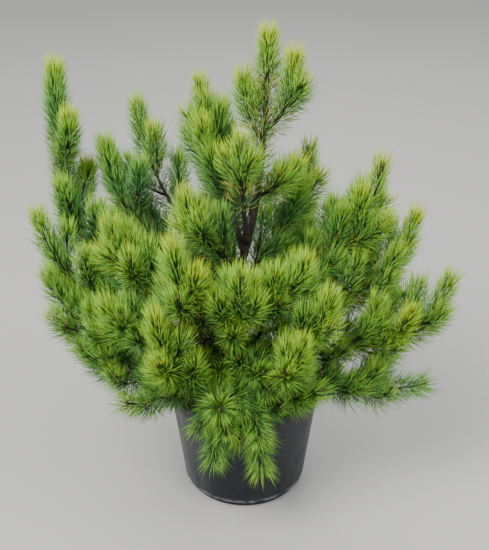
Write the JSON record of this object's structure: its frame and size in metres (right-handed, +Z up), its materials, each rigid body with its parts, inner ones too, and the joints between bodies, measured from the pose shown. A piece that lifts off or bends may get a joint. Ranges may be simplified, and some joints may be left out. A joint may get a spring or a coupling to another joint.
{
  "type": "potted mountain pine",
  "caption": "Bushy multi-stemmed dwarf pine about a metre tall, in a tapered round black plastic pot with a rolled rim.",
  "frame": {"origin": "centre of the pot's flat underside", "axes": "+Z up, the fullest side faces -Y, +X to the right of someone looking along +Y"},
  "size_m": [0.8359, 0.6037, 0.972],
  "materials": {
    "pot_plastic": "satin",
    "compost": "matte",
    "bark": "matte",
    "needles": "matte"
  },
  "bodies": {
    "root": {"pot": "pot_plastic", "compost": "compost", "trunk": "bark", "needles_top": "needles", "needles_top_right": "needles", "needles_top_left": "needles", "needles_upper_right": "needles", "bough_fork_front": "bark", "needles_fork_front": "needles", "bough_fork_left": "bark", "needles_fork_left": "needles", "bough_back_left_high": "bark", "needles_back_left_high": "needles", "bough_left_high": "bark", "needles_left_high": "needles", "needles_left_inner": "needles", "needles_inner_left": "needles", "bough_left_out": "bark", "needles_left_out": "needles", "bough_left_front_high": "bark", "needles_left_front_high": "needles", "bough_left_low": "bark", "needles_left_low": "needles", "needles_left_front": "needles", "bough_left_skirt": "bark", "needles_left_skirt": "needles", "needles_left_foot": "needles", "bough_front_left_high": "bark", "needles_front_left_high": "needles", "bough_front_left": "bark", "needles_front_left": "needles", "needles_front_star": "needles", "needles_front_hang": "needles", "needles_front_hang_left": "needles", "needles_front_spray": "needles", "needles_front_tuft": "needles", "needles_front_mid": "needles", "needles_front_right_high": "needles", "bough_front_right": "bark", "needles_front_right": "needles", "needles_front_right_low": "needles", "needles_right_front": "needles", "bough_right_low": "bark", "needles_right_low": "needles", "bough_right_far": "bark", "needles_right_far": "needles", "bough_right_mid": "bark", "needles_right_mid": "needles", "bough_right_high": "bark", "needles_right_high": "needles", "needles_back_right_high": "needles", "bough_right_back": "bark", "needles_right_back": "needles", "needles_back_high": "needles", "bough_back_right": "bark", "needles_back_right": "needles", "bough_back": "bark", "needles_back": "needles", "bough_back_left": "bark", "needles_back_left": "needles"}
  },
  "joints": []
}
